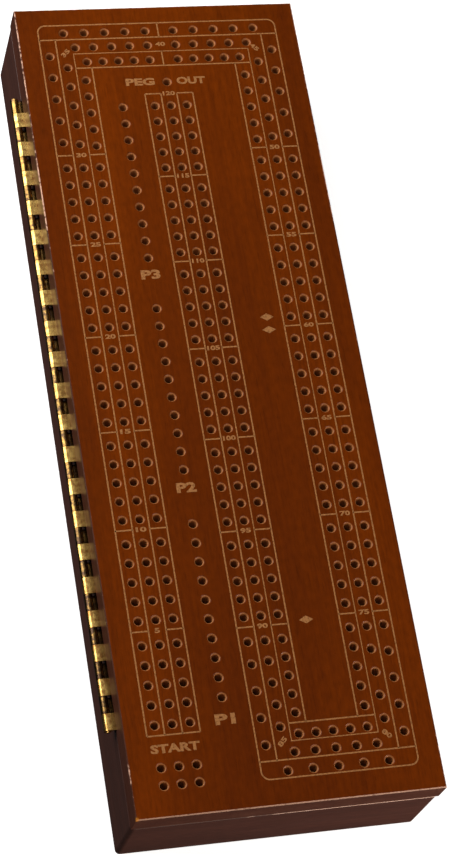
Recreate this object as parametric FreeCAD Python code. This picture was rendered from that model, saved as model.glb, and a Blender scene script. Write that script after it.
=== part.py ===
"""Cribbage board made as a hinged storage box.

A thick drilled playing board is the lid of a shallow tray. The two are joined along the
left long side by a brass piano hinge, and small magnets hold the lid shut. The tray holds
two card wells and a peg well between them, with nine pegs.

Millimetres. +X is to the right of a player who sits at the start end, +Y runs along the
board from the start end to the far end, +Z is up. The origin is the middle of the underside.
"""
import FreeCAD, Part
import math
import os

V = FreeCAD.Vector

# Overall sizes
box_width = 127.0
box_length = 368.3
box_height = 50.8
board_thickness = 12.7
seam_gap = 0.3            # between the tray's rim and the closed lid

# Tray
rail_thickness = 12.7
corner_radius = 2.0       # the tray's upright corners
arris = 0.4               # small chamfer on every outer long edge
floor_thickness = 4.0
floor_rebate = 6.0        # how far the floor panel reaches under each rail
divider_thickness = 6.0
dado_depth = 3.0          # how far a divider is let into each long rail
divider_headroom = 2.0    # from a divider's top to the tray's rim
card_well_length = 96.0   # room for one pack of cards, laid lengthways
scoop_radius = 24.0       # finger scoop in the free side's rim
scoop_depth = 3.0
scoop_reach = 2.5

# Piano hinge
hinge_length = 290.0
hinge_shift = 1.1         # the hinge sits this far towards the far end
knuckle_count = 40
knuckle_gap = 0.25
pin_radius = 0.95
pin_running_clearance = 0.05
pin_overhang = 0.4
sheet = 0.8               # thickness of the hinge leaves
hinge_stand_off = 3.15    # pin's centre outside the tray's side
leaf_reach = 9.6          # how far a leaf reaches under the wood
notch_inset = 0.35        # how far the gaps between knuckles reach under the wood
leaf_slot = 0.15          # slot where the rolled sheet meets its own leaf
leaf_end_clearance = 0.2

# Leaf screws
screws_per_leaf = 8
screw_inset = 5.6         # from the wood's side to the row of screws
screw_shank_radius = 1.1
screw_head_radius = 2.1
screw_length = 8.0
screw_point = 2.0
screw_end_margin = 12.0   # from a leaf's end to its first screw
screw_slot_width = 0.6
screw_slot_depth = 0.35

# Magnets
magnet_radius = 3.0
magnet_thickness = 2.0
magnet_spacing = 250.0    # between the two pairs, along the free side

# Peg holes
hole_radius = 1.65
hole_rim_radius = 2.25    # countersunk mouth
hole_depth = 9.0
drill_point = 0.9
lane_pitch = 7.2          # across the three lanes of a street
side_lane_inset = 20.2    # from a long edge to the middle lane beside it
group_gap = 10.55         # from the last hole of a five to the first of the next
far_margin = 74.9         # from the far edge to the line before the nearest full side five
near_margin = 32.0        # from the start line to the near edge
centre_far_margin = 45.6
centre_near_margin = 73.4
side_fives = 6
centre_fives = 6
top_row_inset = 12.35
top_row_pitch = 7.45
top_half_gap = 6.4        # from the middle of the top rows to the holes beside it
top_row_shift = 0.4       # the top rows sit this far to the right of the middle
lane_shortening = 4.3     # each inner top row ends this much sooner
corner_first = (24.0, 30.0, 36.6)    # from the far edge, outer lane first
corner_last = (67.4, 68.5, 69.6)
turn_down_last = (24.9, 31.0, 37.1)  # from the near edge, outer lane first
turn_row_inset = (13.6, 21.0, 28.2)
turn_row_shortening = (1.3, 5.0, 7.7)
turn_row_end = (0.0, 4.1, 7.1)
turn_up_first = (24.8, 31.7, 37.0)
turn_up_pitch = (11.27, 9.24, 7.8)
peg_out_inset = 38.9
start_hole_insets = (12.7, 19.9)
counter_far_inset = 51.0
counter_near_inset = 46.2
counter_rows = 3
counter_holes = 10

# Pegs
pegs_per_colour = 3
peg_length = 34.0
peg_tip_radius = 1.2
peg_shaft_radius = 1.5
peg_collar_radius = 2.3
peg_collar_length = 1.6
peg_head_radius = 1.9
peg_head_length = 9.0
peg_spacing = 8.0

# Worked-out places
half_width = box_width / 2
half_length = box_length / 2
board_bottom = box_height - board_thickness
rim_height = board_bottom - seam_gap
floor_top = floor_thickness
pin_x = -half_width - hinge_stand_off
pin_z = rim_height + seam_gap / 2
knuckle_radius = pin_radius + sheet + pin_running_clearance
knuckle_pitch = hinge_length / knuckle_count
hinge_far_end = hinge_shift + hinge_length / 2
hinge_near_end = hinge_shift - hinge_length / 2
leaf_edge = -half_width + leaf_reach
well_width = box_width - 2 * rail_thickness
well_far_end = half_length - rail_thickness
divider_top = rim_height - divider_headroom
divider_centre = well_far_end - card_well_length - divider_thickness / 2
side_lane = half_width - side_lane_inset
side_group = (box_length - far_margin - near_margin) / side_fives
side_hole_pitch = (side_group - group_gap) / 4
centre_group = (box_length - centre_far_margin - centre_near_margin) / centre_fives
centre_hole_pitch = (centre_group - group_gap) / 4


def box(low, high):
    """Box from its lowest corner to its highest."""
    size = V(*high) - V(*low)
    return Part.makeBox(size.x, size.y, size.z, V(*low))


def cylinder(radius, length, start, along):
    return Part.makeCylinder(radius, length, V(*start), V(*along))


def prism(outline, height, bottom):
    """Upright prism on a closed outline of (x, y) points."""
    points = [V(x, y, bottom) for x, y in outline]
    face = Part.Face(Part.makePolygon(points + points[:1]))
    return face.extrude(V(0, 0, height))


def turned(profile):
    """Solid turned about Z from (radius, z) points, both ends on the axis."""
    points = [V(radius, 0, z) for radius, z in profile]
    face = Part.Face(Part.makePolygon(points + points[:1]))
    return face.revolve(V(0, 0, 0), V(0, 0, 1), 360)


def moved(shape, x, y, z):
    copy = shape.copy()
    copy.translate(V(x, y, z))
    return copy


def save(name, *shapes):
    shape = shapes[0] if len(shapes) == 1 else Part.makeCompound(shapes)
    shape.exportStep(f"parts/{name}.step")


# ---- Peg holes -----------------------------------------------------------------------

def from_far(distance):
    return half_length - distance


def from_near(distance):
    return distance - half_length


def spread(first, last, count):
    """Evenly spaced values from first to last."""
    return [first + (last - first) * k / (count - 1) for k in range(count)]


def five(first, pitch):
    return [first - pitch * k for k in range(5)]


def side_street_holes():
    """Thirty points up the left side and twenty-five down the right, three lanes each."""
    holes = []
    for lane in range(3):
        offset = lane_pitch * (1 - lane)
        for group in range(side_fives):
            first = from_far(far_margin + group_gap / 2 + group * side_group)
            for y in five(first, side_hole_pitch):
                holes.append((-side_lane - offset, y))
                if group < side_fives - 1:
                    holes.append((side_lane + offset, y))
    return holes


def far_end_holes():
    """The two far corners and the rows between them."""
    holes = []
    for lane in range(3):
        offset = lane_pitch * (1 - lane)
        for y in spread(from_far(corner_first[lane]), from_far(corner_last[lane]), 5):
            holes.append((-side_lane - offset, y))
            holes.append((side_lane + offset, y))
        row = from_far(top_row_inset + top_row_pitch * lane)
        for x in spread(top_half_gap, side_lane - lane_shortening * lane, 5):
            holes.append((top_row_shift - x, row))
            holes.append((top_row_shift + x, row))
    return holes


def near_turn_holes():
    """Fifteen points that lead down the right side, along the near end and up the middle."""
    holes = []
    last_group = from_far(far_margin + group_gap / 2 + (side_fives - 1) * side_group)
    centre_end = from_far(box_length - centre_near_margin + group_gap / 2)
    for lane in range(3):
        offset = lane_pitch * (1 - lane)
        for y in spread(last_group, from_near(turn_down_last[lane]), 5):
            holes.append((side_lane + offset, y))
        row = from_near(turn_row_inset[lane])
        for x in spread(side_lane - turn_row_shortening[lane], turn_row_end[lane], 5):
            holes.append((x, row))
        for k in range(4):
            holes.append((-offset, from_near(turn_up_first[lane] + turn_up_pitch[lane] * k)))
        holes.append((-offset, centre_end))
    return holes


def centre_street_holes():
    holes = []
    for lane in range(3):
        x = lane_pitch * (lane - 1)
        for group in range(centre_fives):
            first = from_far(centre_far_margin + group_gap / 2 + group * centre_group)
            holes += [(x, y) for y in five(first, centre_hole_pitch)]
    return holes


def single_holes():
    """Start holes, the peg-out hole and three rows of ten game counters."""
    holes = [(0.0, from_far(peg_out_inset))]
    for lane in range(3):
        for inset in start_hole_insets:
            holes.append((-side_lane + lane_pitch * (lane - 1), from_near(inset)))
    row_length = side_hole_pitch * (counter_holes - 1)
    counter_span = box_length - counter_far_inset - counter_near_inset - row_length
    for row in range(counter_rows):
        first = from_far(counter_far_inset + counter_span * row / (counter_rows - 1))
        for k in range(counter_holes):
            holes.append((-side_lane / 2, first - side_hole_pitch * k))
    return holes


def all_holes():
    return (side_street_holes() + far_end_holes() + near_turn_holes()
            + centre_street_holes() + single_holes())


# ---- Hinge ---------------------------------------------------------------------------

def screw_places():
    first = hinge_far_end - screw_end_margin
    last = hinge_near_end + screw_end_margin
    return [(-half_width + screw_inset, y) for y in spread(first, last, screws_per_leaf)]


def leaf(lid_side):
    """One leaf, lying flat, with its rolled knuckles. The lid's leaf is tangent to the
    top of the barrel and the tray's leaf to the bottom, so the closed leaves lie apart."""
    side = 1 if lid_side else -1
    outer = pin_z + side * knuckle_radius
    inner = outer - side * sheet
    low, high = min(outer, inner), max(outer, inner)
    bore = pin_radius + (pin_running_clearance if lid_side else 0.0)
    body = box((-half_width + notch_inset, hinge_near_end, low), (leaf_edge, hinge_far_end, high))
    rolls = []
    for k in range(knuckle_count):
        if (k % 2 == 1) != lid_side:
            continue
        far = hinge_far_end - k * knuckle_pitch - knuckle_gap / 2
        near = far - knuckle_pitch + knuckle_gap
        roll = cylinder(knuckle_radius, far - near, (pin_x, near, pin_z), (0, 1, 0))
        tongue = box((pin_x, near, low), (-half_width + notch_inset, far, high))
        rolls.append(roll.fuse(tongue))
    body = body.fuse(rolls)
    slot_edge = inner - side * leaf_slot
    slot = box((pin_x, hinge_near_end, min(inner, slot_edge)),
               (-half_width + notch_inset, hinge_far_end, max(inner, slot_edge)))
    eye = cylinder(bore, hinge_length, (pin_x, hinge_near_end, pin_z), (0, 1, 0))
    body = body.cut(slot).cut(eye)
    heads = [moved(screw(lid_side, slotted=False), x, y, 0) for x, y in screw_places()]
    return body.cut(Part.makeCompound(heads)).removeSplitter()


def hinge_pin():
    length = hinge_length + 2 * pin_overhang
    return cylinder(pin_radius, length, (pin_x, hinge_near_end - pin_overhang, pin_z), (0, 1, 0))


def screw(lid_side, slotted=True):
    """Countersunk slotted wood screw on the Z axis, its head flush with the leaf's face."""
    side = 1 if lid_side else -1
    face = pin_z + side * (knuckle_radius - sheet)
    shape = turned([(0, 0), (screw_head_radius, 0), (screw_shank_radius, sheet),
                    (screw_shank_radius, screw_length - screw_point), (0, screw_length)])
    if slotted:
        shape = shape.cut(box((-screw_head_radius, -screw_slot_width / 2, 0),
                              (screw_head_radius, screw_slot_width / 2, screw_slot_depth)))
    if not lid_side:
        shape.rotate(V(0, 0, 0), V(1, 0, 0), 180)
    return moved(shape, 0, 0, face)


def screws(lid_side):
    shape = screw(lid_side)
    return [moved(shape, x, y, 0) for x, y in screw_places()]


def leaf_mortise(lid_side):
    """Room in the wood for one leaf, open to the side, and for its screws."""
    depth = knuckle_radius - seam_gap / 2
    low = board_bottom if lid_side else rim_height - depth
    room = box((-half_width - 1, hinge_near_end - leaf_end_clearance, low),
               (leaf_edge + leaf_end_clearance, hinge_far_end + leaf_end_clearance, low + depth))
    shape = screw(lid_side, slotted=False)
    return [room] + [moved(shape, x, y, 0) for x, y in screw_places()]


# ---- Magnets -------------------------------------------------------------------------

def magnets(lid_side):
    x = half_width - rail_thickness / 2
    bottom = board_bottom if lid_side else rim_height - magnet_thickness
    return [cylinder(magnet_radius, magnet_thickness, (x, side * magnet_spacing / 2, bottom),
                     (0, 0, 1)) for side in (-1, 1)]


# ---- Lid -----------------------------------------------------------------------------

def hole_tool():
    """What the drill and countersink take away at one hole, its mouth at z = 0."""
    rim_depth = hole_rim_radius - hole_radius
    return turned([(0, 0.5), (hole_rim_radius + 0.5, 0.5), (hole_radius, -rim_depth),
                   (hole_radius, -hole_depth), (0, -hole_depth - drill_point)])


def playing_board():
    board = box((-half_width, -half_length, board_bottom), (half_width, half_length, box_height))
    edges = [edge for edge in board.Edges if edge.BoundBox.ZMin > box_height - 0.01]
    board = board.makeChamfer(arris, edges)
    tool = moved(hole_tool(), 0, 0, box_height)
    drills = Part.makeCompound([moved(tool, x, y, 0) for x, y in all_holes()])
    board = board.cut(drills)
    return board.cut(Part.makeCompound(leaf_mortise(True) + magnets(True)))


# ---- Tray ----------------------------------------------------------------------------

def ring_outline():
    """The tray's outside with round upright corners and a chamfered rim."""
    block = box((-half_width, -half_length, 0), (half_width, half_length, rim_height))
    upright = [edge for edge in block.Edges if edge.BoundBox.ZLength > rim_height - 0.01]
    block = block.makeFillet(corner_radius, upright)
    rim = [edge for edge in block.Edges if edge.BoundBox.ZMin > rim_height - 0.01]
    return block.makeChamfer(arris, rim)


def rail_ring():
    """All four rails in one piece, before the mitres part them."""
    ring = ring_outline()
    inside = well_width / 2
    ring = ring.cut(box((-inside, -well_far_end, 0), (inside, well_far_end, rim_height)))
    ring = ring.cut(floor_panel())
    for place in (divider_centre, -divider_centre):
        ring = ring.cut(divider(place))
    return ring.cut(Part.makeCompound(leaf_mortise(False) + magnets(False)))


def mitred(ring, side_x, side_y):
    """The part of the ring between two mitres: a long rail on side_x or a short on side_y."""
    reach = rail_thickness
    if side_x:
        outline = [(side_x * half_width, -half_length), (side_x * half_width, half_length),
                   (side_x * (half_width - reach), half_length - reach),
                   (side_x * (half_width - reach), -half_length + reach)]
    else:
        outline = [(-half_width, side_y * half_length), (half_width, side_y * half_length),
                   (half_width - reach, side_y * (half_length - reach)),
                   (-half_width + reach, side_y * (half_length - reach))]
    return ring.common(prism(outline, rim_height, 0))


def finger_scoop():
    """A shallow scoop in the free side's rim, so a finger can lift the lid."""
    centre_z = rim_height + scoop_radius - scoop_depth
    start = (half_width - scoop_reach, 0, centre_z)
    return cylinder(scoop_radius, scoop_reach + 1, start, (1, 0, 0))


def floor_panel():
    x = well_width / 2 + floor_rebate
    y = well_far_end + floor_rebate
    return box((-x, -y, 0), (x, y, floor_top))


def divider(place):
    x = well_width / 2 + dado_depth
    half = divider_thickness / 2
    return box((-x, place - half, floor_top), (x, place + half, divider_top))


# ---- Pegs ----------------------------------------------------------------------------

def peg():
    """One peg lying along +Y on the floor panel, its tip at y = 0."""
    neck = peg_length - peg_head_length
    shape = turned([(0, 0), (peg_tip_radius, 0), (peg_shaft_radius, neck - peg_collar_length),
                    (peg_collar_radius, neck - peg_collar_length), (peg_collar_radius, neck),
                    (peg_head_radius, neck), (peg_head_radius, peg_length - peg_head_radius / 2),
                    (peg_head_radius / 2, peg_length), (0, peg_length)])
    collar_y = neck - peg_collar_length
    tilt = math.atan2(peg_collar_radius - peg_tip_radius, collar_y)
    shape.rotate(V(0, 0, 0), V(1, 0, 0), -90)
    shape.translate(V(0, 0, peg_tip_radius))
    shape.rotate(V(0, 0, 0), V(1, 0, 0), math.degrees(tilt))
    return moved(shape, 0, 0, floor_top)


def peg_set(index):
    """Three pegs of one colour, side by side in the peg well."""
    shape = peg()
    first = (index * pegs_per_colour - (3 * pegs_per_colour - 1) / 2) * peg_spacing
    return [moved(shape, first + k * peg_spacing, -peg_length / 2, 0)
            for k in range(pegs_per_colour)]


def main():
    os.makedirs("parts", exist_ok=True)
    ring = rail_ring()
    save("hinge_side_rail", mitred(ring, -1, 0))
    save("free_side_rail", mitred(ring, 1, 0).cut(finger_scoop()))
    save("far_end_rail", mitred(ring, 0, 1))
    save("start_end_rail", mitred(ring, 0, -1))
    save("floor_panel", floor_panel())
    save("far_divider", divider(divider_centre))
    save("near_divider", divider(-divider_centre))
    save("tray_magnets", *magnets(False))
    save("tray_hinge_leaf", leaf(False))
    save("tray_leaf_screws", *screws(False))
    save("hinge_pin", hinge_pin())
    for index, colour in enumerate(("red", "white", "blue")):
        save(f"{colour}_pegs", *peg_set(index))
    save("playing_board", playing_board())
    save("lid_hinge_leaf", leaf(True))
    save("lid_leaf_screws", *screws(True))
    save("lid_magnets", *magnets(True))
    print("peg holes:", len(all_holes()))


main()
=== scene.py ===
"""Looks of the cribbage board box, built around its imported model.

The drilled lid, the tray and the hinge keep their own meshes and get their finishes here.
The printing on the lid, the turned pegs and the leaf screws are made here.
Lengths are written in millimetres and turned to metres by MM, apart from the studio's table
and lights, which are in metres. Places along the board are measured from its far edge, as a
maker would lay them out with a rule.
"""
import bpy
import math
from mathutils import Matrix, Vector


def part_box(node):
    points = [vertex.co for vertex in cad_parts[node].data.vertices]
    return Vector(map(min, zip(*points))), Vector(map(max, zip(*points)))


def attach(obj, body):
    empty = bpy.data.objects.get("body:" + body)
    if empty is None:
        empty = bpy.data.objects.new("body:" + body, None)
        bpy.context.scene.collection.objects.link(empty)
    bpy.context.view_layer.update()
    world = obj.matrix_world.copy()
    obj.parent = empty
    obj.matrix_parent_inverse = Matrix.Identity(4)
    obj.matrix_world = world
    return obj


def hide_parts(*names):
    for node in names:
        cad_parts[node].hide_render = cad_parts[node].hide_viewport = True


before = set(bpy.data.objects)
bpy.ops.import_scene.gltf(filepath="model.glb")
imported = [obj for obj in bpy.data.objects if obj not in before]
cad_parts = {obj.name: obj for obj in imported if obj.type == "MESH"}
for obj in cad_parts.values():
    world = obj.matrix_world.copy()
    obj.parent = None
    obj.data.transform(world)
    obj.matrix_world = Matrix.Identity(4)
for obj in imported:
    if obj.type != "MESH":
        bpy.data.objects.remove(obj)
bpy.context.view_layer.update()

MM = 0.001
board_low, board_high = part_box("playing_board")
FAR_EDGE = board_high.y / MM
NEAR_EDGE = board_low.y / MM
HALF_WIDTH = board_high.x / MM
TOP = board_high.z / MM
BOARD_BOTTOM = board_low.z / MM
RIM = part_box("hinge_side_rail")[1].z / MM
ARRIS = 0.4               # the chamfer on the lid's and the rim's edges

# Wear
PALE_BORE_DEPTH = (0.08, 0.55)         # down a hole's countersink the colour turns paler between these: partly thinner stain, partly painted light
KNOCKED_RADIUS = (0.7, 1.7)       # the near left corner's bare spot fades out between these
HINGE_SIDE_WEAR = (               # (place, from 0 at the far end to 1 at the near end, and wear)
    (0.0, 0.58), (0.11, 0.56), (0.13, 0.42), (0.20, 0.45), (0.21, 0.64), (0.29, 0.62),
    (0.31, 0.3), (0.345, 0.3), (0.35, 0.55), (0.36, 0.3), (0.455, 0.3), (0.46, 0.55),
    (0.47, 0.28), (0.93, 0.3), (0.94, 0.48), (0.96, 0.48), (0.97, 0.35))
NEAR_END_WEAR = 0.72
NEAR_END_SHARE = 0.5              # how strongly the near end's wear shows

# Pegs: the profile is (distance from the tip, radius)
PEG_COLLAR = 2.3
PEG_TIP = 1.2
PEG_COLLAR_PLACE = 23.4
PEG_PROFILE = ((0.0, 0.5), (0.3, 0.9), (0.9, 1.15), (1.8, PEG_TIP), (12.0, 1.34), (23.1, 1.48),
               (PEG_COLLAR_PLACE, 1.9), (23.7, 2.2), (24.2, PEG_COLLAR), (24.7, 2.2), (25.0, 1.9),
               (25.2, 1.5), (25.7, 1.45), (26.3, 1.7), (28.0, 1.86), (30.5, 1.9), (32.4, 1.78),
               (33.4, 1.4), (33.9, 0.8))
PEG_COUNT = 3

# Every turned part
ROUND_SIDES = 24
CREASE = 35                       # degrees; edges that bend more than this stay crisp

# Leaf screws: the profile is (distance from the head's face, radius)
SCREW_HEAD = 2.1
SCREW_PROFILE = ((0.0, 2.02), (0.08, SCREW_HEAD), (0.8, 1.1), (6.0, 1.1), (8.0, 0.1))
SCREW_COUNT = 8
SCREW_SLOT = (6.0, 0.6, 0.7)      # its depth is half of this, as the cutter is centred

# Printing on the lid
PRINT_SHIFT = -0.15       # the print sits this far to the left of the drilling
LINE_WIDTH = 0.62
INK_THICKNESS = 0.05
INK_SUNK = 0.02           # how far the ink's underside lies below the lacquer's face
CORNER_ROUND = 3.4
LANES = (32.5, 39.7, 46.9, 54.1)     # a side street's four lines, from the middle of the board
CENTRE_LANES = (-10.8, -3.6, 3.6, 10.8)
FAR_TURN = (8.4, 15.75, 23.15, 30.5)          # the far end's four lines, outermost first
NEAR_TURN = (335.5, 342.8, 350.2, 357.6)      # the near turn's four lines, innermost first
START_LINE = 335.3
SIDE_DIVIDERS = (74.0, 117.6, 161.2, 204.8, 248.4, 292.0)
CENTRE_DIVIDERS = (44.8, 86.3, 127.9, 169.4, 211.0, 252.5, 294.0)
STREET = 5                        # points between two dividers
TOP_COUNTS = (30, 120, 50)        # beside the farthest divider: left side, centre, right side
NUMBER_HEIGHT = 2.15
NUMBER_WIDTHS = {1: 2.2, 2: 4.5, 3: 5.5}      # by how many digits a number has
NUMBER_BOLDNESS = 0.042
TURN_NUMBERS = (                  # (number, across, distance, turn in degrees)
    (40, 0.0, (FAR_TURN[1] + FAR_TURN[2]) / 2, 0.0), (35, -43.2, 22.6, 45.0),
    (45, 42.8, 22.6, -45.0), (80, 43.2, 343.8, -45.0), (85, -0.2, 342.8, 45.0))
WORDS = (                         # (word, width, middle, the line it stands on)
    ("PEG", 13.0, -12.0, 40.4), ("OUT", 13.0, 11.0, 40.4), ("START", 20.0, -43.5, 342.6))
WORD_HEIGHT = 3.7
WORD_BOLDNESS = 0.045
PLAYER_LABELS = (("P3", 133.3), ("P2", 231.6), ("P1", 331.2))     # (label, distance)
PLAYER_LABEL_WIDTH = 8.4
PLAYER_LABEL_HEIGHT = 4.45
PLAYER_LABEL_MIDDLE = -21.7
DIAMOND_WIDTH = 6.0
DIAMOND_HEIGHT = 3.4
DIAMONDS = ((25.5, 156.5), (25.5, 162.5), (18.5, 293.0))         # (across, distance)

# Camera
CAMERA_PLACE = (-262.1, -426.3, 1003.8)
CAMERA_AIM = (-1.2, -21.8)        # on the lid's face
CAMERA_ROLL = 25.9                # degrees
CAMERA_LENS = 108.1               # focal length, for the sensor below
CAMERA_SENSOR = 36.0

# Studio, in metres
TABLE_HALF_SIZE = 12.0
TABLE_GAP = 0.0002                # the table lies this far under the box, so the faces don't meet
SOFTBOXES = (                     # (name, direction, distance, width, height, watts, tint)
    ("key", (-0.62, 0.53, 0.6), 0.75, 0.75, 0.75, 9.4, "#ffffff"),
    ("overhead", (0.1, 0.0, 1.0), 1.5, 2.0, 2.0, 9.0, "#ffffff"),
    ("fill", (0.3, -0.88, 0.36), 1.2, 1.1, 0.7, 8.5, "#fff0dc"),
    ("front", (0.74, -0.67, 0.02), 0.5, 0.3, 0.2, 4.8, "#ffffff"))


def from_far(distance):
    """Place along Y, in millimetres, at a distance from the far edge."""
    return FAR_EDGE - distance


# ---- Nodes ---------------------------------------------------------------------------

def colour(hex_value):
    """Linear colour from an sRGB hex value such as "#b08050"."""
    parts = [int(hex_value[k:k + 2], 16) / 255 for k in (1, 3, 5)]
    linear = [c / 12.92 if c <= 0.04045 else ((c + 0.055) / 1.055) ** 2.4 for c in parts]
    return (*linear, 1.0)


def add(tree, kind, inputs=None, stops=None, **settings):
    """Adds one node. Inputs are values, nodes or sockets; stops are a ramp's (place, hex).

    A Map Range's inputs go by number: 0 is the value, 1 and 2 are the range it comes from,
    and 3 and 4 the range it goes to, which is 0 to 1 where they are left out.
    """
    node = tree.nodes.new(kind)
    for name, value in settings.items():
        setattr(node, name, value)
    if stops:
        ramp = node.color_ramp.elements
        while len(ramp) > 1:
            ramp.remove(ramp[-1])
        for k, (place, value) in enumerate(stops):
            stop = ramp[0] if k == 0 else ramp.new(place)
            stop.position = place
            stop.color = colour(value) if isinstance(value, str) else (value, value, value, 1)
    for name, value in (inputs or {}).items():
        if isinstance(name, str):
            socket = next(s for s in node.inputs if s.name == name and s.enabled)
        else:
            socket = node.inputs[name]
        if isinstance(value, bpy.types.Node):
            value = next(s for s in value.outputs if s.enabled)
        if isinstance(value, bpy.types.NodeSocket):
            tree.links.new(value, socket)
        else:
            socket.default_value = value
    return node


def new_material(name):
    """An empty material and its node tree."""
    material = bpy.data.materials.new(name)
    material.use_nodes = True
    material.node_tree.nodes.clear()
    return material, material.node_tree


def surface(tree, inputs, normal=None):
    """The shader at the end of a material's tree."""
    shader = add(tree, "ShaderNodeBsdfPrincipled", inputs)
    if normal:
        tree.links.new(normal.outputs[0], shader.inputs["Normal"])
    add(tree, "ShaderNodeOutputMaterial", {"Surface": shader})


def place_in_mm(tree, turn=0.0):
    """Object coordinates in millimetres, turned about Z so that the grain runs along Y."""
    place = add(tree, "ShaderNodeTexCoord").outputs["Object"]
    return add(tree, "ShaderNodeMapping", {"Vector": place, "Rotation": (0, 0, turn),
                                           "Scale": (1 / MM, 1 / MM, 1 / MM)})


def streaks(tree, place, width, length, detail=2.0, offset=0.0):
    """Noise drawn out along the grain, its width and length in millimetres."""
    drawn = add(tree, "ShaderNodeMapping", {"Vector": place, "Location": (offset, offset, 0),
                                            "Scale": (1 / width, 1 / length, 1 / width)})
    return add(tree, "ShaderNodeTexNoise", {"Vector": drawn, "Scale": 1.0, "Detail": detail})


WAVE_PERIOD = math.pi / 10        # a Wave Texture's rings are this far apart in its own units


def growth_rings(tree, place, spacing, tilt, centre_depth):
    """Rings of a log whose middle lies under the board, cut at a slight angle.

    They are drawn several times wider than a tree's own rings, so that they show as soft bands.
    """
    per_mm = WAVE_PERIOD / spacing
    log = add(tree, "ShaderNodeMapping", {
        "Vector": place, "Location": (0, 0, centre_depth * per_mm),
        "Rotation": (math.radians(tilt), 0, math.radians(tilt / 3)),
        "Scale": (per_mm, per_mm, per_mm)})
    return add(tree, "ShaderNodeTexWave", {"Vector": log, "Scale": 1.0, "Distortion": 2.2,
                                           "Detail": 2.0, "Detail Scale": 0.6},
               wave_type="RINGS", rings_direction="Y")


# ---- Wood ----------------------------------------------------------------------------

def stained_wood_colour(tree, place, dark, middle, light, ring_strength=0.35):
    """Colour of stained close-grained wood: broad bands, growth rings and fine streaks.

    Real pores are about 0.2 mm wide and are drawn more than twice that, or they wouldn't show.
    The mottle is the stain's uneven take-up.
    """
    bands = streaks(tree, place, 11.0, 190.0, detail=3.0)
    rings = growth_rings(tree, place, 17.28, 1.4, 90.0)
    both = add(tree, "ShaderNodeMix", {"Factor": ring_strength, "A": bands, "B": rings},
               data_type="FLOAT")
    fine = streaks(tree, place, 0.9, 26.0, detail=4.0, offset=7.0)
    value = add(tree, "ShaderNodeMix", {"Factor": 0.42, "A": both, "B": fine},
                data_type="FLOAT")
    base = add(tree, "ShaderNodeValToRGB", {0: value},
               stops=[(0.28, dark), (0.5, middle), (0.72, light)])
    pores = add(tree, "ShaderNodeValToRGB", {0: streaks(tree, place, 0.55, 7.0, 2.0, 31.0)},
                stops=[(0.30, 0.82), (0.42, 1.0)])
    mottle = add(tree, "ShaderNodeValToRGB", {0: streaks(tree, place, 2.2, 4.0, 3.0, 57.0)},
                 stops=[(0.35, 0.86), (0.62, 1.0)])
    marked = add(tree, "ShaderNodeMix", {"Factor": 1.0, "A": base, "B": pores},
                 data_type="RGBA", blend_type="MULTIPLY")
    return add(tree, "ShaderNodeMix", {"Factor": 1.0, "A": marked, "B": mottle},
               data_type="RGBA", blend_type="MULTIPLY")


def edge_distance(tree, x, y):
    """Distance in millimetres from a point to the nearest side or end of the box."""
    across = add(tree, "ShaderNodeMath", {0: x}, operation="ABSOLUTE")
    along = add(tree, "ShaderNodeMath", {0: y}, operation="ABSOLUTE")
    to_side = add(tree, "ShaderNodeMath", {0: HALF_WIDTH, 1: across}, operation="SUBTRACT")
    to_end = add(tree, "ShaderNodeMath", {0: FAR_EDGE, 1: along}, operation="SUBTRACT")
    return add(tree, "ShaderNodeMath", {0: to_side, 1: to_end}, operation="MINIMUM")


def satin_lacquer(tree, place):
    """Roughness and normal of a thin sprayed lacquer that follows the grain under it.

    Real grain relief is a few tenths of a millimetre wide, and is drawn wider so that it shows.
    """
    relief = streaks(tree, place, 0.6, 12.0, 2.0, 3.0)
    normal = add(tree, "ShaderNodeBump", {"Height": relief, "Strength": 0.12,
                                          "Distance": 0.0002})
    roughness = add(tree, "ShaderNodeMapRange", {0: streaks(tree, place, 3.0, 30.0, 3.0, 17.0),
                                                 1: 0.3, 2: 0.7, 3: 0.34, 4: 0.46})
    return roughness, normal


def lid_arris_wear(tree, place, y, to_edge, below_face):
    """How bare the lid's upper arris is rubbed, from 0 to 1: in spots where the hinge side has
    been handled, and all along the near end, where it shows less strongly."""
    near_arris = add(tree, "ShaderNodeMapRange", {0: to_edge, 1: ARRIS + 0.02, 2: ARRIS + 0.1,
                                                  3: 1.0, 4: 0.0})
    down = add(tree, "ShaderNodeMapRange", {0: y, 1: FAR_EDGE, 2: NEAR_EDGE})
    handled = add(tree, "ShaderNodeValToRGB", {0: down}, stops=HINGE_SIDE_WEAR)
    at_near_end = add(tree, "ShaderNodeMapRange", {0: y, 1: NEAR_EDGE + ARRIS + 0.2,
                                                   2: NEAR_EDGE + ARRIS})
    rub = add(tree, "ShaderNodeMix", {"Factor": at_near_end, "A": handled,
                                      "B": NEAR_END_WEAR}, data_type="FLOAT")
    spots = add(tree, "ShaderNodeTexNoise", {"Vector": place, "Scale": 0.6, "Detail": 3.0})
    rub = add(tree, "ShaderNodeMath", {0: rub, 1: spots}, operation="ADD")
    rub = add(tree, "ShaderNodeMapRange", {0: rub, 1: 0.95, 2: 1.15})
    high = add(tree, "ShaderNodeMapRange", {0: below_face, 1: ARRIS + 0.02, 2: ARRIS + 0.1,
                                            3: 1.0, 4: 0.0})
    share = add(tree, "ShaderNodeMapRange", {0: at_near_end, 3: 1.0, 4: NEAR_END_SHARE})
    for limit in (high, share, near_arris):
        rub = add(tree, "ShaderNodeMath", {0: rub, 1: limit}, operation="MULTIPLY")
    return rub


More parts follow.
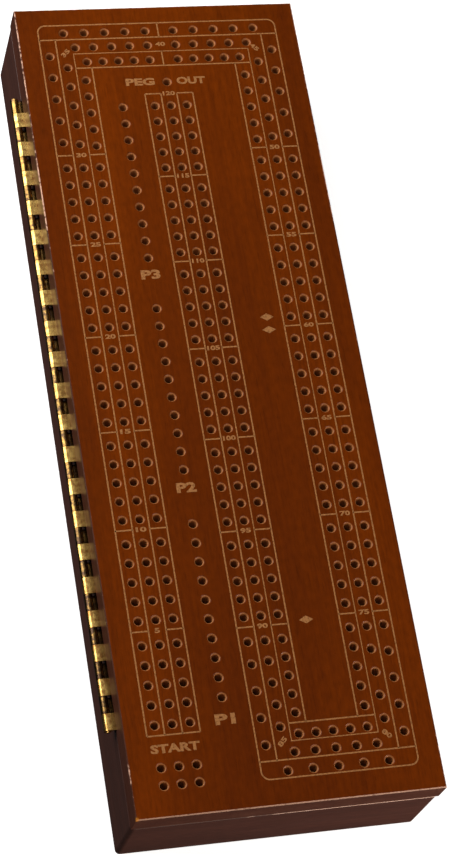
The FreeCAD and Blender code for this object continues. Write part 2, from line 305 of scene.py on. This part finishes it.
def lid_wood():
    """Rubberwood, stained red-brown and sprayed with satin lacquer.

    The stain gives the face its warm orange-brown with lengthwise streaks; the sides and the
    underside took a darker coat, and it thins out down the holes. The paler colour down the
    holes and their countersinks is partly that thinner stain and partly painted light, standing
    in for light reaching into the holes and for the countersinks' highlights. The lacquer gives
    a soft sheen. The upper arris is rubbed back to pale wood, and the near left corner is
    knocked bare.
    """
    material, tree = new_material("rubberwood_stained_satin_lacquered")
    place = place_in_mm(tree)
    x, y, z = add(tree, "ShaderNodeSeparateXYZ", {0: place}).outputs
    to_edge = edge_distance(tree, x, y)
    below_face = add(tree, "ShaderNodeMath", {0: TOP, 1: z}, operation="SUBTRACT")

    face_colour = stained_wood_colour(tree, place, "#501e03", "#5a2302", "#662902")
    side_colour = stained_wood_colour(tree, place, "#3c1f15", "#45251a", "#4f2e21", 0.2)
    # The pale colour down the holes is partly thinner stain and partly painted light: it stands
    # in for light reaching into the holes and for the countersinks' highlights.
    on_face = add(tree, "ShaderNodeMapRange", {0: below_face, 1: PALE_BORE_DEPTH[0],
                                               2: PALE_BORE_DEPTH[1], 3: 1.0, 4: 0.0})
    face_and_pale_bore_with_painted_light = add(tree, "ShaderNodeMix", {"Factor": on_face, "A": colour("#a0663a"),
                                              "B": face_colour}, data_type="RGBA")
    on_side = add(tree, "ShaderNodeMapRange", {0: to_edge, 1: ARRIS - 0.04, 2: ARRIS + 0.04,
                                               3: 1.0, 4: 0.0})
    on_back = add(tree, "ShaderNodeMapRange", {0: z, 1: BOARD_BOTTOM + ARRIS - 0.1,
                                               2: BOARD_BOTTOM + ARRIS + 0.1, 3: 1.0, 4: 0.0})
    dark_coat = add(tree, "ShaderNodeMath", {0: on_side, 1: on_back}, operation="MAXIMUM")
    stained = add(tree, "ShaderNodeMix", {"Factor": dark_coat, "A": face_and_pale_bore_with_painted_light,
                                          "B": side_colour}, data_type="RGBA")
    rubbed = add(tree, "ShaderNodeMix", {
        "Factor": lid_arris_wear(tree, place, y, to_edge, below_face), "A": stained,
        "B": colour("#bf947c")}, data_type="RGBA")
    corner = add(tree, "ShaderNodeVectorMath", {0: place, 1: (-HALF_WIDTH, NEAR_EDGE, TOP)},
                 operation="DISTANCE").outputs["Value"]
    knocked = add(tree, "ShaderNodeMapRange", {0: corner, 1: KNOCKED_RADIUS[0],
                                               2: KNOCKED_RADIUS[1], 3: 0.9, 4: 0.0})
    finished = add(tree, "ShaderNodeMix", {"Factor": knocked, "A": rubbed,
                                           "B": colour("#a5661f")}, data_type="RGBA")

    roughness, normal = satin_lacquer(tree, place)
    face_shine = add(tree, "ShaderNodeMapRange", {0: below_face, 1: 0.04, 2: 0.15, 3: 0.015,
                                                  4: 0.12})
    side_shine = add(tree, "ShaderNodeMapRange", {0: x, 1: -HALF_WIDTH, 2: 1.0 - HALF_WIDTH,
                                                  3: 0.05, 4: 0.18})
    shine = add(tree, "ShaderNodeMix", {"Factor": dark_coat, "A": face_shine,
                                        "B": side_shine}, data_type="FLOAT")
    surface(tree, {"Base Color": finished, "Roughness": roughness, "IOR": 1.5,
                   "Specular IOR Level": shine}, normal)
    return material


def tray_wood(name, turn, pale_from, pale_to):
    """Rubberwood rail, stained dark purple-brown and sprayed with satin lacquer.

    The stain is nearly opaque, so only faint streaks show along the rail. The rim's outer
    arris is rubbed back to pale wood, more and more from pale_from to pale_to across the box,
    and places beyond the box's side leave a rail unrubbed.
    """
    material, tree = new_material(name)
    place = place_in_mm(tree, turn)
    straight = place_in_mm(tree)
    x, y, z = add(tree, "ShaderNodeSeparateXYZ", {0: straight}).outputs
    stained = stained_wood_colour(tree, place, "#371c14", "#3f2118", "#48271d", 0.2)
    under_rim = add(tree, "ShaderNodeMath", {0: RIM, 1: z}, operation="SUBTRACT")
    high = add(tree, "ShaderNodeMapRange", {0: under_rim, 1: ARRIS, 2: ARRIS + 0.08, 3: 1.0,
                                            4: 0.0})
    outer = add(tree, "ShaderNodeMapRange", {0: edge_distance(tree, x, y), 1: ARRIS + 0.02,
                                             2: ARRIS + 0.2, 3: 1.0, 4: 0.0})
    where = add(tree, "ShaderNodeMapRange", {0: x, 1: pale_from, 2: pale_to, 3: 0.1, 4: 0.8})
    spots = add(tree, "ShaderNodeTexNoise", {"Vector": straight, "Scale": 0.3, "Detail": 3.0})
    rub = add(tree, "ShaderNodeMath", {0: where, 1: spots}, operation="ADD")
    rub = add(tree, "ShaderNodeMapRange", {0: rub, 1: 0.9, 2: 1.1})
    for limit in (high, outer):
        rub = add(tree, "ShaderNodeMath", {0: rub, 1: limit}, operation="MULTIPLY")
    finished = add(tree, "ShaderNodeMix", {"Factor": rub, "A": stained,
                                           "B": colour("#c09c8a")}, data_type="RGBA")
    roughness, normal = satin_lacquer(tree, place)
    surface(tree, {"Base Color": finished, "Roughness": roughness, "IOR": 1.5,
                   "Specular IOR Level": 0.35}, normal)
    return material


def floor_plywood():
    """Birch plywood, rotary cut and sanded: pale, with broad wandering grain and no shine.
    Its fine fibres are drawn coarser than they are, or they wouldn't show."""
    material, tree = new_material("birch_plywood_sanded")
    place = place_in_mm(tree)
    grain = growth_rings(tree, place, 28.27, 4.0, 60.0)
    fine = streaks(tree, place, 0.7, 20.0, 3.0)
    value = add(tree, "ShaderNodeMix", {"Factor": 0.5, "A": grain, "B": fine},
                data_type="FLOAT")
    base = add(tree, "ShaderNodeValToRGB", {0: value},
               stops=[(0.25, "#a5794a"), (0.5, "#bd935f"), (0.75, "#c9a473")])
    normal = add(tree, "ShaderNodeBump", {"Height": fine, "Strength": 0.2,
                                          "Distance": 0.0002})
    surface(tree, {"Base Color": base, "Roughness": 0.62, "IOR": 1.5}, normal)
    return material


# ---- Metal and plastic ---------------------------------------------------------------

def brass(name, bright, aged, roughness_low, roughness_high, drawn_length, near_shade_amount=0.0):
    """Brass, rolled, drawn or turned: warm yellow, with fine marks along the board and patches
    of brown tarnish that dull the shine. Where the last argument is set, the brass also grows
    darker and duller towards the near end: painted shade, for the darker surroundings that
    its knuckles reflect at that end.
    Real marks are a few hundredths of a millimetre wide; these are 0.4 mm, so that they show."""
    material, tree = new_material(name)
    place = place_in_mm(tree)
    patches = add(tree, "ShaderNodeTexNoise", {"Vector": place, "Scale": 0.45, "Detail": 5.0,
                                               "Roughness": 0.65})
    along = add(tree, "ShaderNodeSeparateXYZ", {0: place}).outputs[1]
    # Painted shade: the brass turns darker and duller towards the near end, where the knuckles
    # reflect darker surroundings.
    near_painted_shade = add(tree, "ShaderNodeMapRange", {0: along, 1: FAR_EDGE, 2: NEAR_EDGE,
                                               3: 0.0, 4: near_shade_amount})
    tarnish_and_painted_shade = add(tree, "ShaderNodeMath", {0: patches, 1: near_painted_shade}, operation="ADD")
    base = add(tree, "ShaderNodeValToRGB", {0: tarnish_and_painted_shade},
               stops=[(0.4, bright), (0.66, aged)])
    marks = streaks(tree, place, 0.4, drawn_length, 3.0)
    dull = add(tree, "ShaderNodeMix", {"Factor": 0.5, "A": tarnish_and_painted_shade, "B": marks},
               data_type="FLOAT")
    roughness = add(tree, "ShaderNodeMapRange", {0: dull, 1: 0.35, 2: 0.65,
                                                 3: roughness_low, 4: roughness_high})
    normal = add(tree, "ShaderNodeBump", {"Height": marks, "Strength": 0.15,
                                          "Distance": 0.0001})
    surface(tree, {"Base Color": base, "Metallic": 1.0, "Roughness": roughness,
                   "Coat Weight": 0.3, "Coat Roughness": 0.15}, normal)
    return material


def nickel_plate():
    """Nickel plating on a sintered magnet: cool grey, nearly mirror-like, faintly cloudy."""
    material, tree = new_material("nickel_plated_polished")
    place = place_in_mm(tree)
    cloud = add(tree, "ShaderNodeTexNoise", {"Vector": place, "Scale": 0.8, "Detail": 3.0})
    base = add(tree, "ShaderNodeValToRGB", {0: cloud},
               stops=[(0.35, "#b9b6b0"), (0.65, "#d2d0cb")])
    roughness = add(tree, "ShaderNodeMapRange", {0: cloud, 1: 0.3, 2: 0.7, 3: 0.14, 4: 0.28})
    surface(tree, {"Base Color": base, "Metallic": 1.0, "Roughness": roughness})
    return material


def peg_plastic(name, dark, light):
    """Polystyrene, injection moulded: glossy and even, with slight flow marks and a trace of
    light passing through its skin."""
    material, tree = new_material(name)
    place = place_in_mm(tree)
    flow = streaks(tree, place, 2.0, 9.0, 2.0)
    base = add(tree, "ShaderNodeValToRGB", {0: flow}, stops=[(0.3, dark), (0.7, light)])
    roughness = add(tree, "ShaderNodeMapRange", {0: flow, 1: 0.3, 2: 0.7, 3: 0.18, 4: 0.3})
    surface(tree, {"Base Color": base, "Roughness": roughness, "IOR": 1.59,
                   "Subsurface Weight": 0.05, "Subsurface Scale": 0.001})
    return material


def board_ink():
    """Tan ink, screen printed: flat colour without shine, a little uneven where it sank into
    the grain."""
    material, tree = new_material("tan_ink_screen_printed")
    place = place_in_mm(tree)
    worn = add(tree, "ShaderNodeTexNoise", {"Vector": place, "Scale": 1.1, "Detail": 3.0})
    base = add(tree, "ShaderNodeValToRGB", {0: worn},
               stops=[(0.3, "#6e4625"), (0.48, "#895b34"), (0.7, "#946439")])
    surface(tree, {"Base Color": base, "Roughness": 0.45, "IOR": 1.5,
                   "Specular IOR Level": 0.06})
    return material


# ---- Geometry Nodes ------------------------------------------------------------------

def new_tree(name, inputs):
    """An empty geometry tree with named inputs, each (label, socket kind)."""
    tree = bpy.data.node_groups.new(name, "GeometryNodeTree")
    tree.interface.new_socket("Geometry", in_out="INPUT", socket_type="NodeSocketGeometry")
    for label, kind in inputs:
        tree.interface.new_socket(label, in_out="INPUT", socket_type=kind)
    tree.interface.new_socket("Geometry", in_out="OUTPUT", socket_type="NodeSocketGeometry")
    return tree, tree.nodes.new("NodeGroupInput")


def end_tree(tree, geometry, material):
    """Real geometry in one material at the end of a tree."""
    real = add(tree, "GeometryNodeRealizeInstances", {"Geometry": geometry})
    coated = add(tree, "GeometryNodeSetMaterial", {"Geometry": real, "Material": material})
    add(tree, "NodeGroupOutput", {0: coated})


def linked(name, data):
    """An object that holds the data, linked to the scene."""
    thing = bpy.data.objects.new(name, data)
    bpy.context.scene.collection.objects.link(thing)
    return thing


def grow(name, mesh, tree, values):
    """A plain piece made by running a geometry tree on a mesh."""
    seed = linked(name + "_path", mesh)
    modifier = seed.modifiers.new("shape", "NODES")
    modifier.node_group = tree
    for item in tree.interface.items_tree:
        if item.in_out == "INPUT" and item.name in values:
            modifier[item.identifier] = values[item.name]
    depsgraph = bpy.context.evaluated_depsgraph_get()
    result = bpy.data.meshes.new_from_object(seed.evaluated_get(depsgraph))
    result.name = name
    seed.modifiers.remove(modifier)
    bpy.data.objects.remove(seed)
    return linked(name, result)


def printed_line_tree(material):
    """Sweeps a flat strip of ink along each path. A point's "round" is its corner radius."""
    tree, given = new_tree("printed_line", [("Width", "NodeSocketFloat"),
                                            ("Thickness", "NodeSocketFloat")])
    paths = add(tree, "GeometryNodeMeshToCurve", {"Mesh": given.outputs["Geometry"]})
    radius = add(tree, "GeometryNodeInputNamedAttribute", {"Name": "round"},
                 data_type="FLOAT")
    rounded = add(tree, "GeometryNodeFilletCurve", {"Curve": paths, "Radius": radius,
                                                    "Count": 8, "Limit Radius": True},
                  mode="POLY")
    level = add(tree, "GeometryNodeSetCurveNormal", {"Curve": rounded}, mode="Z_UP")
    strip = add(tree, "GeometryNodeCurvePrimitiveQuadrilateral",
                {"Width": given.outputs["Width"], "Height": given.outputs["Thickness"]})
    swept = add(tree, "GeometryNodeCurveToMesh", {"Curve": level, "Profile Curve": strip,
                                                  "Fill Caps": True})
    flat = add(tree, "GeometryNodeSetShadeSmooth", {"Geometry": swept, "Shade Smooth": False})
    end_tree(tree, flat, material)
    return tree


def turned_row_tree(material, slotted):
    """A row of parts turned on a lathe. A point's "turning" is the part's radius there."""
    tree, given = new_tree("turned_row", [
        ("Count", "NodeSocketInt"), ("Start", "NodeSocketVector"),
        ("Step", "NodeSocketVector"), ("Sides", "NodeSocketInt"),
        ("Slot Size", "NodeSocketVector"), ("Most Turn", "NodeSocketVector"),
        ("Seed", "NodeSocketInt")])
    axis = add(tree, "GeometryNodeMeshToCurve", {"Mesh": given.outputs["Geometry"]})
    radius = add(tree, "GeometryNodeInputNamedAttribute", {"Name": "turning"},
                 data_type="FLOAT")
    ring = add(tree, "GeometryNodeCurvePrimitiveCircle",
               {"Resolution": given.outputs["Sides"], "Radius": 1.0})
    part = add(tree, "GeometryNodeCurveToMesh", {"Curve": axis, "Profile Curve": ring,
                                                 "Scale": radius, "Fill Caps": True})
    if slotted:
        cutter = add(tree, "GeometryNodeMeshCube", {"Size": given.outputs["Slot Size"]})
        part = add(tree, "GeometryNodeMeshBoolean", {"Mesh 1": part, "Mesh 2": cutter},
                   operation="DIFFERENCE", solver="EXACT")
    bend = add(tree, "GeometryNodeInputMeshEdgeAngle").outputs["Unsigned Angle"]
    crease = add(tree, "FunctionNodeCompare", {"A": bend, "B": math.radians(CREASE)},
                 data_type="FLOAT", operation="GREATER_THAN")
    smooth = add(tree, "GeometryNodeSetShadeSmooth", {"Geometry": part, "Shade Smooth": True})
    edged = add(tree, "GeometryNodeSetShadeSmooth",
                {"Geometry": smooth, "Selection": crease, "Shade Smooth": False}, domain="EDGE")
    row = add(tree, "GeometryNodeMeshLine", {
        "Count": given.outputs["Count"], "Start Location": given.outputs["Start"],
        "Offset": given.outputs["Step"]})
    turn = add(tree, "FunctionNodeRandomValue", {"Max": given.outputs["Most Turn"],
                                                 "Seed": given.outputs["Seed"]},
               data_type="FLOAT_VECTOR")
    placed = add(tree, "GeometryNodeInstanceOnPoints", {"Points": row, "Instance": edged,
                                                        "Rotation": turn})
    end_tree(tree, placed, material)
    return tree


def axis_mesh(profile, direction):
    """Edges along a turned part's axis from (distance, radius) pairs in millimetres."""
    points = [tuple(distance * MM * part for part in direction) for distance, _ in profile]
    mesh = bpy.data.meshes.new("axis")
    mesh.from_pydata(points, [(k, k + 1) for k in range(len(points) - 1)], [])
    values = mesh.attributes.new("turning", "FLOAT", "POINT").data
    values.foreach_set("value", [radius * MM for _, radius in profile])
    return mesh


# ---- Pegs and screws -----------------------------------------------------------------

def turned_pegs(colour_name, material):
    """Three pegs of one colour on the floor of the well, tip down and collar raised."""
    node = colour_name + "_pegs"
    low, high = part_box(node)
    tilt = math.atan2(PEG_COLLAR - PEG_TIP, PEG_COLLAR_PLACE)
    step = (high.x - low.x - 2 * PEG_COLLAR * MM) / (PEG_COUNT - 1)
    pegs = grow(colour_name + "_pegs_turned",
                axis_mesh(PEG_PROFILE, (0, math.cos(tilt), math.sin(tilt))),
                turned_row_tree(material, False),
                {"Count": PEG_COUNT, "Step": (step, 0, 0), "Sides": ROUND_SIDES,
                 "Start": (low.x + PEG_COLLAR * MM, low.y, low.z + PEG_TIP * MM)})
    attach(pegs, "tray")
    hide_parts(node)


def slotted_screws(body, material, shank_up, seed):
    """One leaf's countersunk screws, each driven home with its slot at its own angle."""
    node = body + "_leaf_screws"
    low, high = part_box(node)
    step = (high.y - low.y - 2 * SCREW_HEAD * MM) / (SCREW_COUNT - 1)
    face = low.z if shank_up else high.z
    screws = grow(node + "_slotted", axis_mesh(SCREW_PROFILE, (0, 0, 1 if shank_up else -1)),
                  turned_row_tree(material, True),
                  {"Count": SCREW_COUNT, "Step": (0, step, 0), "Sides": ROUND_SIDES,
                   "Start": ((low.x + high.x) / 2, low.y + SCREW_HEAD * MM, face),
                   "Slot Size": tuple(side * MM for side in SCREW_SLOT),
                   "Most Turn": (0, 0, math.pi), "Seed": seed})
    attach(screws, body)
    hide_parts(node)


# ---- Printing ------------------------------------------------------------------------

def street_lines():
    """Every printed line as a run of (x, distance from the far edge, corner radius)."""
    inner, lower, upper, outer = LANES
    left, left_mid, right_mid, right = CENTRE_LANES
    far_1, far_2, far_3, far_4 = FAR_TURN
    near_4, near_3, near_2, near_1 = NEAR_TURN
    last = START_LINE
    top = CENTRE_DIVIDERS[0]
    runs = [
        [(-outer, last, 0), (-outer, far_1, CORNER_ROUND), (outer, far_1, CORNER_ROUND),
         (outer, near_1, CORNER_ROUND), (left, near_1, CORNER_ROUND), (left, top, 0)],
        [(-outer, far_2, 0), (outer, far_2, 0)],
        [(-upper, last, 0), (-upper, far_2, 0)],
        [(upper, far_2, 0), (upper, near_2, 0)],
        [(-lower, last, 0), (-lower, far_3, 0), (lower, far_3, 0), (lower, near_3, 0),
         (right_mid, near_3, 0), (right_mid, top, 0)],
        [(-lower, far_4, 0), (lower, far_4, 0)],
        [(-inner, last, 0), (-inner, far_4, 0)],
        [(inner, far_4, 0), (inner, near_4, 0)],
        [(-outer, last, 0), (-inner, last, 0)],
        [(left_mid, top, 0), (left_mid, near_2, 0)],
        [(right, top, 0), (right, near_4, 0)],
        [(right_mid, near_4, 0), (lower, near_4, 0)],
        [(left, near_2, 0), (outer, near_2, 0)],
        [(0, far_1, 0), (0, far_2, 0)],
        [(0, far_3, 0), (0, far_4, 0)],
    ]
    for place in SIDE_DIVIDERS:
        for side in (-1, 1):
            runs.append([(side * inner, place, 0), (side * lower, place, 0)])
            runs.append([(side * upper, place, 0), (side * outer, place, 0)])
    for place in CENTRE_DIVIDERS:
        runs.append([(left, place, 0), (left_mid, place, 0)])
        runs.append([(right_mid, place, 0), (right, place, 0)])
    return runs


def path_mesh(runs, height):
    """Loose edges along each run, with each point's corner radius as "round"."""
    points, edges, rounds = [], [], []
    for run in runs:
        for k, (x, distance, radius) in enumerate(run):
            if k:
                edges.append((len(points) - 1, len(points)))
            points.append(((x + PRINT_SHIFT) * MM, from_far(distance) * MM, height * MM))
            rounds.append(radius * MM)
    mesh = bpy.data.meshes.new("paths")
    mesh.from_pydata(points, edges, [])
    values = mesh.attributes.new("round", "FLOAT", "POINT").data
    values.foreach_set("value", rounds)
    return mesh


def outline_mesh(text, boldness=0.0):
    """A run of plain letters or digits as a flat solid, one unit tall and wide."""
    curve = bpy.data.curves.new("run", "FONT")
    curve.body = text
    curve.extrude = 0.1
    curve.offset = boldness
    curve.resolution_u = 3
    holder = linked("run", curve)
    bpy.context.view_layer.update()
    mesh = bpy.data.meshes.new_from_object(holder)
    bpy.data.objects.remove(holder)
    corners = [v.co for v in mesh.vertices]
    low = [min(c[k] for c in corners) for k in range(3)]
    high = [max(c[k] for c in corners) for k in range(3)]
    mesh.transform(Matrix.Translation((-low[0], -low[1], -low[2])))
    mesh.transform(Matrix.Diagonal([1 / (high[k] - low[k]) for k in range(3)] + [1]))
    return mesh


def set_run(text, width, height, x, distance, turn=0.0, boldness=0.0, base=False):
    """A run of letters centred at a place, or standing on it when base is true."""
    mesh = outline_mesh(text, boldness)
    size = Matrix.Diagonal((width * MM, height * MM, INK_THICKNESS * MM, 1))
    rise = 0.0 if base else -0.5
    middle = Matrix.Translation((-0.5, rise, 0))
    where = Matrix.Translation(((x + PRINT_SHIFT) * MM, from_far(distance) * MM,
                                (TOP - INK_SUNK) * MM))
    mesh.transform(where @ Matrix.Rotation(math.radians(turn), 4, "Z") @ size @ middle)
    return mesh


def joined(name, meshes, material):
    """One piece from several meshes."""
    points, faces = [], []
    for mesh in meshes:
        start = len(points)
        points += [v.co[:] for v in mesh.vertices]
        faces += [[start + i for i in face.vertices] for face in mesh.polygons]
    whole = bpy.data.meshes.new(name)
    whole.from_pydata(points, [], faces)
    whole.materials.append(material)
    return linked(name, whole)


def number(value, x, distance, turn=0.0):
    """One printed number, as wide as its digits need."""
    text = str(value)
    width = NUMBER_WIDTHS[len(text)]
    return set_run(text, width, NUMBER_HEIGHT, x, distance, turn, NUMBER_BOLDNESS)


def lane_numbers():
    """The points counted up the left side, down the right side and up the middle."""
    meshes = []
    left_top, centre_top, right_top = TOP_COUNTS
    middle = (LANES[1] + LANES[2]) / 2
    for k, place in enumerate(SIDE_DIVIDERS):
        meshes.append(number(left_top - STREET * k, -middle, place))
        meshes.append(number(right_top + STREET * k, middle, place))
    for k, place in enumerate(CENTRE_DIVIDERS):
        meshes.append(number(centre_top - STREET * k, 0.0, place))
    for value, x, distance, turn in TURN_NUMBERS:
        meshes.append(number(value, x, distance, turn))
    return meshes


def printed_words():
    """Plain game words: where to start, where to peg out, and the players' counters."""
    meshes = []
    for text, width, middle, base in WORDS:
        meshes.append(set_run(text, width, WORD_HEIGHT, middle, base, 0.0, WORD_BOLDNESS,
                              base=True))
    for text, distance in PLAYER_LABELS:
        meshes.append(set_run(text, PLAYER_LABEL_WIDTH, PLAYER_LABEL_HEIGHT,
                              PLAYER_LABEL_MIDDLE, distance, 0.0, WORD_BOLDNESS))
    return meshes


def diamond_mesh(x, distance):
    """A plain printed diamond as a flat solid at a place on the lid."""
    corners = ((DIAMOND_WIDTH / 2, 0), (0, DIAMOND_HEIGHT / 2),
               (-DIAMOND_WIDTH / 2, 0), (0, -DIAMOND_HEIGHT / 2))
    underside = TOP - INK_SUNK
    points = [((x + PRINT_SHIFT + across) * MM, (from_far(distance) + up) * MM, level * MM)
              for level in (underside, underside + INK_THICKNESS) for across, up in corners]
    count = len(corners)
    sides = [(k, (k + 1) % count, (k + 1) % count + count, k + count) for k in range(count)]
    mesh = bpy.data.meshes.new("diamond")
    mesh.from_pydata(points, [], [(3, 2, 1, 0), (4, 5, 6, 7)] + sides)
    return mesh


def print_the_lid():
    """All the ink on the lid, as four pieces that turn with it."""
    ink = board_ink()
    tree = printed_line_tree(ink)
    height = TOP - INK_SUNK + INK_THICKNESS / 2
    lines = grow("printed_street_lines", path_mesh(street_lines(), height), tree,
                 {"Width": LINE_WIDTH * MM, "Thickness": INK_THICKNESS * MM})
    numbers = joined("printed_numbers", lane_numbers(), ink)
    words = joined("printed_words", printed_words(), ink)
    diamonds = joined("printed_diamonds", [diamond_mesh(*place) for place in DIAMONDS], ink)
    for piece in (lines, numbers, words, diamonds):
        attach(piece, "lid")


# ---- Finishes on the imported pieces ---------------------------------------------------

def finish_packed_pieces():
    """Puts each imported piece's finish on it."""
    long_rail = tray_wood("rubberwood_dark_stained_long_rail", 0.0, 200.0, 400.0)
    short_rail = tray_wood("rubberwood_dark_stained_short_rail", math.pi / 2, -40.0, 20.0)
    # The tray's leaf takes a darker copy of the same rolled brass. Each call's last number is how
    # much painted shade darkens that leaf towards the near end.
    rolled = brass("brass_sheet_rolled", "#ecc46c", "#9a6a30", 0.1, 0.26, 12.0, 0.09)
    darker_rolled_brass = brass("brass_sheet_rolled_darker", "#a37d3a", "#3c2712", 0.1, 0.28, 12.0,
                      0.16)
    finishes = {
        "playing_board": lid_wood(),
        "hinge_side_rail": long_rail, "free_side_rail": long_rail,
        "far_end_rail": short_rail, "start_end_rail": short_rail,
        "far_divider": short_rail, "near_divider": short_rail,
        "floor_panel": floor_plywood(),
        "tray_hinge_leaf": darker_rolled_brass, "lid_hinge_leaf": rolled,
        "hinge_pin": brass("brass_wire_drawn", "#e8bc6c", "#b07c34", 0.16, 0.3, 30.0),
        "tray_magnets": nickel_plate(),
    }
    finishes["lid_magnets"] = finishes["tray_magnets"]
    for node, material in finishes.items():
        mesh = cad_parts[node].data
        mesh.materials.clear()
        mesh.materials.append(material)


def make_pegs_and_screws():
    """The pegs in their three colours and both leaves' screws."""
    for colour_name, dark, light in (("red", "#8f0f12", "#a81618"),
                                     ("white", "#d8d4c8", "#e6e2d8"),
                                     ("blue", "#123a86", "#1a4a9c")):
        material = peg_plastic(f"polystyrene_{colour_name}_moulded", dark, light)
        turned_pegs(colour_name, material)
    turned = brass("brass_screw_turned", "#dcab58", "#9c6c2c", 0.24, 0.42, 2.0)
    slotted_screws("tray", turned, False, 3)
    slotted_screws("lid", turned, True, 8)


# ---- Studio --------------------------------------------------------------------------

def studio_floor():
    """White acrylic table: even and pale, lit a little from beneath."""
    material, tree = new_material("white_acrylic_table")
    surface(tree, {"Base Color": colour("#b4b4b4"), "Roughness": 0.7,
                   "Emission Color": colour("#ffffff"), "Emission Strength": 0.75})
    size = TABLE_HALF_SIZE
    mesh = bpy.data.meshes.new("table")
    mesh.from_pydata([(-size, -size, 0), (size, -size, 0), (size, size, 0), (-size, size, 0)],
                     [], [(0, 1, 2, 3)])
    mesh.materials.append(material)
    table = linked("table", mesh)
    table.location.z = -TABLE_GAP
    table.visible_glossy = False
    table.visible_diffuse = False


def softbox(name, direction, distance, width, height, power, tint):
    """A soft rectangular light that faces the middle of the board."""
    light = bpy.data.lights.new(name, "AREA")
    light.shape = "RECTANGLE"
    light.size, light.size_y = width, height
    light.energy = power
    light.color = colour(tint)[:3]
    lamp = linked(name, light)
    towards = Vector(direction).normalized()
    lamp.location = towards * distance
    lamp.rotation_euler = towards.to_track_quat("Z", "Y").to_euler()


def studio_lights():
    """A faint even sky and the softboxes."""
    world = bpy.data.worlds.new("studio")
    world.use_nodes = True
    world.node_tree.nodes.clear()
    sky = add(world.node_tree, "ShaderNodeBackground", {"Color": colour("#ffffff"),
                                                        "Strength": 0.035})
    add(world.node_tree, "ShaderNodeOutputWorld", {"Surface": sky})
    bpy.context.scene.world = world
    for box in SOFTBOXES:
        softbox(*box)


def studio_camera():
    """A long lens above the near left corner, held at a tilt."""
    camera = bpy.data.cameras.new("camera")
    camera.lens = CAMERA_LENS
    camera.sensor_width = CAMERA_SENSOR
    holder = linked("camera", camera)
    place = Vector(CAMERA_PLACE) * MM
    towards = place - Vector((*CAMERA_AIM, TOP)) * MM
    turned = towards.to_track_quat("Z", "Y").to_matrix() @ Matrix.Rotation(
        math.radians(CAMERA_ROLL), 3, "Z")
    holder.location = place
    holder.rotation_euler = turned.to_euler()
    bpy.context.scene.camera = holder
    bpy.context.scene.view_settings.view_transform = "Standard"


studio_camera()
studio_lights()
studio_floor()
finish_packed_pieces()
make_pegs_and_screws()
print_the_lid()
